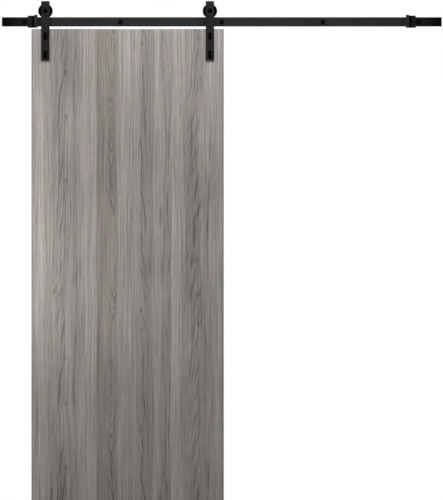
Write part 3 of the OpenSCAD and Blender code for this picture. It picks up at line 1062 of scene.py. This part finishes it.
@dataclass(frozen=True)
class LaminatePrint:
    """The printed wood pattern of the laminate, as a node group on distances across and down the leaf.

    Args:
        width: Width of the leaf.
        repeat: Length after which the print comes back.
        lead: How far above the top of the leaf the first repeat starts.
        colour: Mean colour of the print.
        cool: The coolest tint, as shares of the colour.
        warm: The warmest tint, as shares of the colour.
        figure_gain: How many times its listed depth a figure darkens the print.
        figure_limit: The most that figures darken it together.
        line_start: Where a loop's line starts between two lines, as a share of half their spacing.
        roughness: Roughness of the darkest and of the lightest lines.
        sheet_height: Height of the sheet, against the depth of its relief.
        fibre_height: How much higher a fine fibre is.
        pore_depth: How much lower a pore is.
    """

    width: float
    repeat: float = 1300 * MM
    lead: float = 305 * MM
    colour: Colour = (0.322, 0.3005, 0.279)
    cool: Colour = (0.98, 1.0, 0.978)
    warm: Colour = (1.027, 0.987, 1.012)
    figure_gain: float = 2.125
    figure_limit: float = 0.175
    line_start: float = 0.25
    roughness: Span = (0.56, 0.46)
    sheet_height: float = 0.5
    fibre_height: float = 0.6
    pore_depth: float = 0.5

    def strips(self, bench: NodeBench, across: Socket) -> Socket:
        """Colour of the veneer strips.

        Args:
            bench: The group's bench.
            across: Distance from the left side of the leaf.

        Returns:
            The colour's socket.
        """
        red, green, blue = self.colour
        stops = []
        for strip in STRIPS:
            tinted = (red * (1.0 + strip.warmth), green, blue * (1.0 - strip.warmth))
            stops.append((strip.centre * MM / self.width, toned(tinted, strip.tone**TONE_POWER)))
        return bench.ramp(bench.math("DIVIDE", across, self.width), stops)

    def streaks(self, bench: NodeBench, place: Socket, streaks: Iterable[Streak]) -> Socket | float:
        """Adds up how much a set of streaks darkens the print.

        Args:
            bench: The group's bench.
            place: Distances across and down.
            streaks: The streaks.

        Returns:
            The sum's socket.
        """
        darker: Socket | float = 0.0
        for streak in streaks:
            size = (streak.width * MM, streak.length * MM / 2, 1.0)
            centre = (streak.across * MM, streak.down * MM, 0.0)
            spot = bench.spot(place, centre, -math.atan(streak.lean), size)
            darker = bench.total(darker, [(spot, streak.depth)])
        return darker

    def loops(self, bench: NodeBench, place: Socket, loops: Iterable[Loop]) -> Socket | float:
        """Adds up how much a set of loops darkens the print.

        Args:
            bench: The group's bench.
            place: Distances across and down.
            loops: The loops.

        Returns:
            The sum's socket.
        """
        darker: Socket | float = 0.0
        for loop in loops:
            size = (loop.half_width * MM, loop.half_length * MM, 1.0)
            centre = (loop.across * MM, loop.down * MM, 0.0)
            eye = bench.spot(place, centre, -math.atan(loop.lean), size)
            half = loop.spacing / 2
            line = bench.slope(bench.math("PINGPONG", eye, half), self.line_start * half, half)
            darker = bench.total(darker, [(line, loop.depth)])
        return darker

    def feathers(self, bench: NodeBench, across: Socket, down: Socket) -> Socket | float:
        """Short leaning streaks in the two feathery strips.

        Args:
            bench: The group's bench.
            across: Distance from the left side.
            down: Distance from the top.

        Returns:
            The socket of how much they darken the print.
        """
        parts = []
        for strip in FEATHER_STRIPS:
            leaning = bench.join(bench.total(across, [(down, strip.lean)]), down)
            lines = strip.layer.lines(bench, leaning)
            shown = bench.band(across, strip.left * MM, strip.right * MM, strip.soft * MM)
            parts.append((bench.math("MULTIPLY", lines, shown), strip.layer.share))
        return bench.total(0.0, parts)

    def group(self) -> bpy.types.NodeTree:
        """The print as a node group, made when it is first asked for.

        Returns:
            The group, with Across and Down in, and Colour, Roughness and Height out.
        """
        found = bpy.data.node_groups.get("laminate_print")
        if found is not None:
            return found
        tree = bpy.data.node_groups.new("laminate_print", "ShaderNodeTree")
        for name in ("Across", "Down"):
            tree.interface.new_socket(name=name, in_out="INPUT", socket_type="NodeSocketFloat")
        tree.interface.new_socket(name="Colour", in_out="OUTPUT", socket_type="NodeSocketColor")
        for name in ("Roughness", "Height"):
            tree.interface.new_socket(name=name, in_out="OUTPUT", socket_type="NodeSocketFloat")
        bench = NodeBench(tree)
        ways_in = tree.nodes.new("NodeGroupInput")
        self.lay_out(bench, ways_in.outputs["Across"], ways_in.outputs["Down"])
        return tree

    def lay_out(self, bench: NodeBench, across: Socket, down: Socket) -> None:
        """Lays out the group's nodes.

        Args:
            bench: The group's bench.
            across: Distance from the left side.
            down: Distance from the top.
        """
        sheet = bench.join(across, down)
        wander = bench.math("SUBTRACT", WANDER.noise(bench, sheet), NOISE_MEAN)
        drift = bench.total(across, [(wander, WANDER.share)])
        start = -self.lead
        wrapped = bench.math("WRAP", down, start + self.repeat, start)
        printed = bench.join(drift, wrapped)
        fibres = bench.join(drift, down)

        broad, line, fine = (layer.noise(bench, fibres) for layer in (BROAD, LINE, FINE))
        pores = PORES.lines(bench, fibres)
        cloud = CLOUD.noise(bench, sheet)
        streaks = LEFT_FEATHERS + CATHEDRAL_ARCS + WAVY_LINE + FINE_PAIR + RIGHT_FEATHERS + KNOTS
        figures = bench.math("MULTIPLY", self.streaks(bench, printed, streaks), self.figure_gain)
        eyes = self.loops(bench, printed, CATHEDRAL_LOOPS)
        # Painted light and shade: broad lighter and darker spots over the sheet.
        painted_light_and_shade = self.streaks(bench, sheet, PAINTED_LIGHT_AND_SHADE)
        thread = THREAD.lines(bench, fibres)
        swings = [(broad, BROAD.share), (line, LINE.share), (fine, FINE.share), (cloud, CLOUD.share)]
        level = 1.0 - NOISE_MEAN * sum(share for _, share in swings)
        darker = [
            (bench.math("MINIMUM", figures, self.figure_limit), -1.0),
            (eyes, -1.0),
            (painted_light_and_shade, -1.0),
            (self.feathers(bench, drift, down), -1.0),
            (thread, THREAD.share),
            (pores, PORES.share),
        ]
        tone = bench.total(level, swings + darker)

        strips = self.strips(bench, drift)
        shaded = bench.scaled(strips, bench.math("POWER", tone, TONE_POWER))
        tint = bench.mix(TINT.lines(bench, sheet), self.cool, self.warm)
        colour = bench.mix(1.0, shaded, tint, "MULTIPLY")
        roughness = bench.slope(line, *NOISE_RANGE, *self.roughness)
        height = bench.total(self.sheet_height, [(fine, self.fibre_height), (pores, -self.pore_depth)])

        ways_out = bench.tree.nodes.new("NodeGroupOutput")
        for name, socket in (("Colour", colour), ("Roughness", roughness), ("Height", height)):
            bench.feed(ways_out.inputs[name], socket)


@dataclass(frozen=True, kw_only=True)
class Laminate(Finish):
    """Matt wood-print laminate on one piece of the leaf.

    Args:
        sheet: The print.
        grain: How the sheet lies on the piece.
        corner: The leaf's top left corner at the front.
        relief: Depth of the embossed grain.
        rear_shift: How much further down the print starts on the rear face.
        band_shift: Where the top band's strip is taken from, across the print.
    """

    sheet: LaminatePrint
    grain: Grain
    corner: Point
    relief: float = 0.05 * MM
    rear_shift: float = 520 * MM
    band_shift: float = 230 * MM

    def surface(self, bench: NodeBench) -> Surface:
        """Reads the print at the piece's own place.

        The sheet is folded round the side edges, so the distance across goes on along Y there.

        Args:
            bench: The bench of the new material.

        Returns:
            What the shader takes.
        """
        x, y, z = bench.split(bench.place_from(self.corner))
        across = bench.math("ADD", x, y)
        down = bench.math("MULTIPLY", z, -1.0)
        if self.grain is Grain.REAR:
            across = bench.math("SUBTRACT", self.sheet.width, x)
            down = bench.math("ADD", down, self.rear_shift)
        if self.grain is Grain.TOP_BAND:
            across, down = bench.math("ADD", y, self.band_shift), x
        node = bench.add("Group", node_tree=self.sheet.group())
        bench.feed(node.inputs["Across"], across)
        bench.feed(node.inputs["Down"], down)
        relief = bench.bump(node.outputs["Height"], self.relief)
        return Surface(node.outputs["Colour"], node.outputs["Roughness"], relief)


@dataclass(frozen=True)
class Palette:
    """The finishes that several sub-assemblies share."""

    track: TrackCoat = TrackCoat("track_coat", specular=0.01, colour=(0.0228, 0.0226, 0.0246))
    clamp: PowderCoat = PowderCoat("clamp_coat", specular=0.02, colour=(0.0112, 0.0112, 0.0115))
    striker: PowderCoat = PowderCoat("striker_coat", specular=0.02, colour=(0.0202, 0.0202, 0.0205))
    spacer: PowderCoat = PowderCoat("spacer_coat", specular=0.05, colour=(0.018, 0.018, 0.0185))
    fastener: GrainyFinish = GrainyFinish("blackened_steel", specular=0.015)
    axle: GrainyFinish = GrainyFinish(
        "axle_black", specular=0.01, colour=(0.0006, 0.0006, 0.0007), roughness=0.3
    )
    rubber: GrainyFinish = GrainyFinish(
        "stop_rubber", specular=0.0, colour=(0.0006, 0.0006, 0.0006),
        grain=0.9 * MM, grain_depth=0.03 * MM, roughness=0.8
    )
    seal: GrainyFinish = GrainyFinish(
        "seal_rubber", specular=0.15, colour=(0.004, 0.004, 0.0045),
        grain=0.5 * MM, grain_depth=0.01 * MM, roughness=0.6
    )
    pine: SawnWood = SawnWood("pine_frame", specular=0.2)
    chipboard: SawnWood = SawnWood(
        "chipboard_core", specular=0.2, dark=(0.34, 0.22, 0.11), light=(0.60, 0.44, 0.26),
        cell=(6 * MM, 9 * MM, 6 * MM)
    )


def node(name: str) -> bpy.types.Object:
    """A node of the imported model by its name."""
    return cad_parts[name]


def paint(obj: bpy.types.Object, finish: Finish) -> None:
    """Gives a piece one finish all over.

    Args:
        obj: The piece.
        finish: The finish.
    """
    material = finish.material()
    for slot in obj.material_slots:
        slot.material = material
    if not obj.material_slots:
        obj.data.materials.append(material)
    LOG.info("%s is finished in %s", obj.name, material.name)


def soften(obj: bpy.types.Object, width: float) -> None:
    """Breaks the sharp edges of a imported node.

    Args:
        obj: The node's object.
        width: Width of the broken edge.
    """
    weld = obj.modifiers.new("joined_faces", "WELD")
    weld.merge_threshold = WELD_DISTANCE
    bevel = obj.modifiers.new("broken_edges", "BEVEL")
    bevel.width = width
    bevel.segments = EDGE_FACES
    bevel.limit_method = "ANGLE"
    bevel.angle_limit = SHARP_EDGE
    bevel.harden_normals = True


def finished_mesh(name: str, shape: bmesh.types.BMesh, smooth_angle: float) -> bpy.types.Object:
    """Turns a worked shape into an object at the origin.

    Args:
        name: Name of the new piece.
        shape: The shape, which is freed.
        smooth_angle: Edges sharper than this stay sharp, in radians.

    Returns:
        The new object.
    """
    bmesh.ops.remove_doubles(shape, verts=shape.verts, dist=MERGE_DISTANCE)
    bmesh.ops.recalc_face_normals(shape, faces=shape.faces)
    mesh = bpy.data.meshes.new(name)
    for face in shape.faces:
        face.smooth = True
    shape.to_mesh(mesh)
    shape.free()
    mesh.set_sharp_from_angle(angle=smooth_angle)
    obj = bpy.data.objects.new(name, mesh)
    bpy.context.scene.collection.objects.link(obj)
    return obj


@dataclass
class LagScrew:
    """One hexagon lag screw with its thread, on an axis along Y.

    Args:
        head_sides: Number of the head's flats.
        head_flats: Width across the flats of the head.
        head_height: Height of the head.
        head_face: Width of the round front face, as a share of the width across the flats.
        chamfer: Slope of the turned corners, in radians.
        chamfer_cuts: How many plane cuts turn them off.
        shank_radius: Radius of the plain shank and of the thread's crest.
        root_radius: Radius between the turns of the thread.
        pitch: Distance from one turn to the next.
        ridge: Half the width of the thread's ridge, as a share of the pitch.
        ridge_foot: How far the ridge is sunk into the core.
        run_in: How far out the ridge starts, as a share; one turn later it is full.
        tip: Length of the pointed end.
        tip_end: Radius of its flat end, as a share of the root radius.
        turn_steps: Faces in one turn.
        smooth_angle: Edges sharper than this stay sharp, in radians.
    """

    head_sides: int = 6
    head_flats: float = 17 * MM
    head_height: float = 7 * MM
    head_face: float = 0.95
    chamfer: float = math.radians(30)
    chamfer_cuts: int = 24
    shank_radius: float = 5 * MM
    root_radius: float = 3.9 * MM
    pitch: float = 4.5 * MM
    ridge: float = 0.32
    ridge_foot: float = 0.3 * MM
    run_in: float = 0.75
    tip: float = 10 * MM
    tip_end: float = 0.1
    turn_steps: int = 32
    smooth_angle: float = math.radians(28)

    def head(self, shape: bmesh.types.BMesh, front: float) -> None:
        """Adds the hexagon head with its corners turned off.

        Args:
            shape: The screw's shape.
            front: Where the head's front lies.
        """
        half_side = math.pi / self.head_sides
        corner = self.head_flats / 2 / math.cos(half_side)
        upright = Matrix.Rotation(math.pi / 2, 4, "X") @ Matrix.Rotation(half_side, 4, "Z")
        seat = Matrix.Translation((0, front + self.head_height, 0)) @ upright
        bmesh.ops.create_circle(shape, cap_ends=True, segments=self.head_sides, radius=corner, matrix=seat)
        raised = bmesh.ops.extrude_face_region(shape, geom=shape.faces[:])
        tops = [part for part in raised["geom"] if isinstance(part, bmesh.types.BMVert)]
        bmesh.ops.translate(shape, verts=tops, vec=(0, -self.head_height, 0))
        face_radius = self.head_face * self.head_flats / 2
        for step in range(self.chamfer_cuts):
            angle = math.radians(360 * step / self.chamfer_cuts)
            outward = Vector((math.cos(angle), 0, math.sin(angle)))
            touch = face_radius * outward + Vector((0, front, 0))
            away = outward * math.tan(self.chamfer) - Vector((0, 1, 0))
            everything = shape.verts[:] + shape.edges[:] + shape.faces[:]
            bmesh.ops.bisect_plane(shape, geom=everything, plane_co=touch, plane_no=away, clear_outer=True)
            rim = [edge for edge in shape.edges if edge.is_boundary]
            bmesh.ops.holes_fill(shape, edges=rim, sides=0)

    def stem(self, shape: bmesh.types.BMesh, start: float, end: float) -> None:
        """Adds the shank, the core of the thread and the point.

        Args:
            shape: The screw's shape.
            start: Where the stem starts inside the head.
            end: Where the point ends.
        """
        outline = (
            (0.0, start),
            (self.shank_radius, start),
            (self.shank_radius, -self.pitch / 2),
            (self.root_radius, 0.0),
            (self.root_radius, end - self.tip),
            (self.tip_end * self.root_radius, end),
            (0.0, end),
        )
        verts = [shape.verts.new((radius, y, 0)) for radius, y in outline]
        edges = [shape.edges.new(pair) for pair in zip(verts, verts[1:])]
        bmesh.ops.spin(
            shape, geom=verts + edges, cent=(0, 0, 0), axis=(0, 1, 0), angle=math.tau,
            steps=2 * self.turn_steps, use_merge=True
        )

    def thread(self, shape: bmesh.types.BMesh, end: float) -> None:
        """Adds the thread as one ridge wound round the core, which narrows with the point.

        Args:
            shape: The screw's shape.
            end: Where the point ends.
        """
        turns = int((end - self.pitch) / self.pitch)
        foot = self.root_radius - self.ridge_foot
        half = self.ridge * self.pitch
        outline = ((foot, 0.0), (self.shank_radius, half), (foot, 2 * half))
        verts = [shape.verts.new((radius, y, 0)) for radius, y in outline]
        edges = [shape.edges.new(pair) for pair in zip(verts, verts[1:] + verts[:1])]
        rise = (0, self.pitch / self.turn_steps, 0)
        before = set(shape.verts) - set(verts)
        wound = bmesh.ops.spin(
            shape, geom=verts + edges, cent=(0, 0, 0), axis=(0, 1, 0), dvec=rise,
            angle=turns * math.tau, steps=turns * self.turn_steps
        )
        last = [part for part in wound["geom_last"] if isinstance(part, bmesh.types.BMVert)]
        for cap in (verts, last):
            shape.faces.new(cap)
        for vert in set(shape.verts) - before:
            left = max(0.0, min(1.0, (end - vert.co.y) / self.tip))
            share = min(left, self.run_in + (1.0 - self.run_in) * vert.co.y / self.pitch)
            vert.co.x *= share
            vert.co.z *= share

    def build(self, name: str, place: Vector, front: float, end: float) -> bpy.types.Object:
        """Makes the screw.

        Args:
            name: Name of the piece.
            place: Where the axis crosses the wall plane.
            front: Where the head's front lies.
            end: Where the point ends.

        Returns:
            The new piece.
        """
        shape = bmesh.new()
        self.head(shape, front)
        self.stem(shape, front + self.head_height / 2, end)
        self.thread(shape, end)
        bmesh.ops.translate(shape, verts=shape.verts, vec=place)
        return finished_mesh(name, shape, self.smooth_angle)


@dataclass
class Track:
    """The wall track with its spacers, washers and screws.

    Args:
        palette: The shared finishes.
        screw: The pattern of the five screws.
        screw_count: How many screws hold the track.
        edge: Width of the broken edges.
    """

    palette: Palette
    screw: LagScrew
    screw_count: int = 5
    edge: float = 0.4 * MM

    def build(self) -> None:
        """Makes the threaded screws in the place of the plain ones."""
        for number in range(1, self.screw_count + 1):
            plain = f"track_screw_{number}"
            low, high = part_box(plain)
            middle = (low + high) / 2
            piece = self.screw.build(f"lag_screw_{number}", Vector((middle.x, 0, middle.z)), low.y, high.y)
            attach(piece, Body.TRACK.value)
            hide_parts(plain)
            paint(piece, self.palette.fastener)

    def dress(self) -> None:
        """Finishes the bar, the washers and the spacers."""
        finishes = {"rail": self.palette.track, "washers": self.palette.fastener}
        for number in range(1, self.screw_count + 1):
            finishes[f"spacer_{number}"] = self.palette.spacer
        for part, finish in finishes.items():
            piece = node(f"track_{part}")
            soften(piece, self.edge)
            paint(piece, finish)


@dataclass
class EndStop:
    """A stop at one end of the track.

    Args:
        side: Which end.
        palette: The shared finishes.
        edge: Width of the broken edges.
    """

    side: Side
    palette: Palette
    edge: float = 0.5 * MM

    def dress(self) -> None:
        """Finishes the two collars, the rubber between them and the set screws."""
        finishes = {
            "clamp": self.palette.clamp,
            "striker": self.palette.striker,
            "buffer": self.palette.rubber,
            "set_screws": self.palette.fastener,
        }
        for part, finish in finishes.items():
            piece = node(f"stop_{self.side.value}_{part}")
            if part != "set_screws":
                soften(piece, self.edge)
            paint(piece, finish)


@dataclass
class Leaf:
    """The door leaf.

    Args:
        palette: The shared finishes.
        seam: Width of the fine edge where a face meets a band.
        sheen: Strength of the laminate's reflection.
    """

    palette: Palette
    seam: float = 0.25 * MM
    sheen: float = 0.16

    def dress(self) -> None:
        """Finishes the faces and bands with the print, and the frame and core inside."""
        low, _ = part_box("door_edge_band_left")
        _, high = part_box("door_edge_band_right")
        corner = (low.x, low.y, high.z)
        sheet = LaminatePrint(high.x - low.x)
        lays = {
            "face_front": Grain.FRONT,
            "edge_band_left": Grain.FRONT,
            "edge_band_right": Grain.FRONT,
            "face_rear": Grain.REAR,
            "edge_band_top": Grain.TOP_BAND,
        }
        for part, grain in lays.items():
            piece = node(f"door_{part}")
            soften(piece, self.seam)
            name = f"laminate_{grain.name.lower()}"
            paint(piece, Laminate(name, self.sheen, sheet=sheet, grain=grain, corner=corner))
        for part in ("stile_left", "stile_right", "top_rail", "bottom_rail"):
            paint(node(f"door_{part}"), self.palette.pine)
        paint(node("door_core"), self.palette.chipboard)


@dataclass
class Hanger:
    """A strap hanger with its bolts, wheel and bearing.

    Args:
        side: Which hanger.
        palette: The shared finishes.
        edge: Width of the strap's broken edges.
        wheel_edge: Width of the wheel's broken edges.
        coat: Colour of the strap's coat.
        steel: Colour of the bearing's bright steel.
    """

    side: Side
    palette: Palette
    edge: float = 0.6 * MM
    wheel_edge: float = 0.4 * MM
    coat: Colour = (0.0152, 0.0158, 0.0149)
    steel: Colour = (0.52, 0.52, 0.53)

    def axle(self) -> Point:
        """The middle of the wheel."""
        low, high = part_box(f"roller_{self.side.value}_wheel")
        return tuple((low + high) / 2)

    def dress(self) -> None:
        """Finishes the strap, its bolts and nuts, the wheel and the bearing."""
        name = self.side.value
        axle = self.axle()
        strap = node(f"hanger_{name}_strap")
        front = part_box(strap.name)[0].y
        coat = StrapCoat(f"strap_coat_{name}", specular=0.02, colour=self.coat, middle=axle[0], front=front)
        soften(strap, self.edge)
        paint(strap, coat)
        paint(node(f"hanger_{name}_axle_bolt"), self.palette.axle)
        for part in ("axle_nut", "door_bolts", "sleeve_nuts"):
            paint(node(f"hanger_{name}_{part}"), self.palette.fastener)
        nylon = TurnedFinish(f"wheel_nylon_{name}", specular=0.01, centre=axle)
        steel = TurnedFinish(
            f"bearing_steel_{name}", specular=0.5, metallic=1.0, centre=axle, colour=self.steel,
            ring=0.5 * MM, ring_depth=0.004 * MM, roughness=0.3
        )
        wheel = node(f"roller_{name}_wheel")
        soften(wheel, self.wheel_edge)
        paint(wheel, nylon)
        paint(node(f"roller_{name}_bearing_seals"), self.palette.seal)
        for part in ("bearing_outer_race", "bearing_cage", "bearing_balls"):
            paint(node(f"roller_{name}_{part}"), steel)
        for part in ("axle_sleeves", "bearing_inner_race"):
            paint(node(f"hanger_{name}_{part}"), steel)


@dataclass
class Panel:
    """A soft light panel.

    Args:
        name: Its name.
        place: Its middle.
        target: What it is turned to.
        size: Its width and height.
        power: Its power, in watts.
    """

    name: str
    place: Point
    target: Point
    size: tuple[float, float]
    power: float

    def build(self) -> None:
        """Hangs the panel, out of the camera's sight."""
        lamp = bpy.data.lights.new(self.name, "AREA")
        lamp.shape = "RECTANGLE"
        lamp.size, lamp.size_y = self.size
        lamp.energy = self.power
        obj = bpy.data.objects.new(self.name, lamp)
        obj.location = self.place
        aim = Vector(self.target) - Vector(self.place)
        obj.rotation_euler = aim.to_track_quat("-Z", "Y").to_euler()
        obj.visible_camera = False
        bpy.context.scene.collection.objects.link(obj)


@dataclass
class Studio:
    """The white studio: camera, panels, floor and surroundings.

    Args:
        image: Width and height of the picture, in pixels.
        pixel: What a pixel measures at the track.
        middle: What the camera looks at, on the track's front plane.
        lens: Focal length, in millimetres.
        sensor: The sensor's long side, in millimetres.
        ambient: Brightness of the surroundings as light.
        floor_gap: Gap between the leaf and the floor.
        floor_reach: How far the floor reaches to the sides and front, and behind the wall plane.
    """

    image: tuple[int, int] = (443, 500)
    pixel: float = 4.547 * MM
    middle: Point = (-1.35 * MM, -44 * MM, -1037.5 * MM)
    lens: float = 400.0
    sensor: float = 36.0
    ambient: float = 0.4
    floor_gap: float = 22 * MM
    floor_reach: tuple[float, float, float] = (3.0, 3.2, 0.4)

    def camera(self) -> None:
        """Sets up the camera square on, so that the picture takes in the photographed field."""
        data = bpy.data.cameras.new("camera")
        data.lens = self.lens
        data.sensor_width = self.sensor
        field_height = max(self.image) * self.pixel
        distance = field_height * self.lens / self.sensor
        data.clip_end = 4 * distance
        obj = bpy.data.objects.new("camera", data)
        x, y, z = self.middle
        obj.location = (x, y - distance, z)
        obj.rotation_euler = (math.pi / 2, 0, 0)
        bpy.context.scene.collection.objects.link(obj)
        bpy.context.scene.camera = obj

    def lamps(self) -> None:
        """Hangs a wide panel in front, a slim one above the track and one behind."""
        panels = (
            Panel("key_panel", (-0.3, -0.8, -1.1), (-0.3, 0.0, -1.1), (3.0, 0.3), 4.4),
            Panel("top_panel", (-0.2, -0.55, 0.5), (-0.2, -0.45, -0.5), (2.6, 0.3), 17.4),
            Panel("back_panel", (0.2, 2.6, 1.2), (0.0, 0.0, -1.1), (3.0, 1.6), 35.0),
        )
        for panel in panels:
            panel.build()

    def floor(self) -> None:
        """Lays the pale floor under the leaf."""
        low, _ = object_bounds()
        side, front, back = self.floor_reach
        shape = bmesh.new()
        bmesh.ops.create_grid(shape, x_segments=1, y_segments=1, size=1.0)
        bmesh.ops.scale(shape, verts=shape.verts, vec=(side, (front + back) / 2, 1.0))
        bmesh.ops.translate(shape, verts=shape.verts, vec=(0, (back - front) / 2, low.z - self.floor_gap))
        obj = finished_mesh("floor", shape, math.pi)
        finish = GrainyFinish(
            "floor_paint", specular=0.1, colour=(0.78, 0.78, 0.78), contrast=0.01,
            grain=30 * MM, grain_depth=0.1 * MM, roughness=0.8
        )
        paint(obj, finish)
        obj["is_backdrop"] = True

    def surroundings(self) -> None:
        """Makes the surroundings white to the eye and in reflections, and a plain soft light on the rest."""
        world = bpy.data.worlds.new("studio")
        world.use_nodes = True
        bpy.context.scene.world = world
        bench = NodeBench(world.node_tree)
        soft = world.node_tree.nodes["Background"]
        soft.inputs["Color"].default_value = (1.0, 1.0, 1.0, 1.0)
        soft.inputs["Strength"].default_value = self.ambient
        white = bench.add("Background")
        white.inputs["Color"].default_value = (1.0, 1.0, 1.0, 1.0)
        white.inputs["Strength"].default_value = 1.0
        path = bench.add("LightPath").outputs
        seen = bench.math("MAXIMUM", path["Is Camera Ray"], path["Is Glossy Ray"])
        seen = bench.math("MAXIMUM", seen, path["Is Transmission Ray"])
        mixed = bench.add("MixShader")
        bench.feed(mixed.inputs[0], seen)
        bench.feed(mixed.inputs[1], soft.outputs[0])
        bench.feed(mixed.inputs[2], white.outputs[0])
        bench.feed(world.node_tree.nodes["World Output"].inputs["Surface"], mixed.outputs[0])

    def build(self) -> None:
        """Sets up the whole studio."""
        bpy.context.scene.view_settings.view_transform = "Standard"
        self.camera()
        self.lamps()
        self.floor()
        self.surroundings()
        LOG.info("studio is set up")


def main() -> None:
    """Builds and dresses the sub-assemblies in order, then sets up the studio."""
    logging.basicConfig(level=logging.INFO, format="%(message)s")
    palette = Palette()
    track = Track(palette, LagScrew())
    track.build()
    track.dress()
    for side in Side:
        EndStop(side, palette).dress()
    Leaf(palette).dress()
    for side in Side:
        Hanger(side, palette).dress()
    Studio().build()


if __name__ == "__main__":
    main()
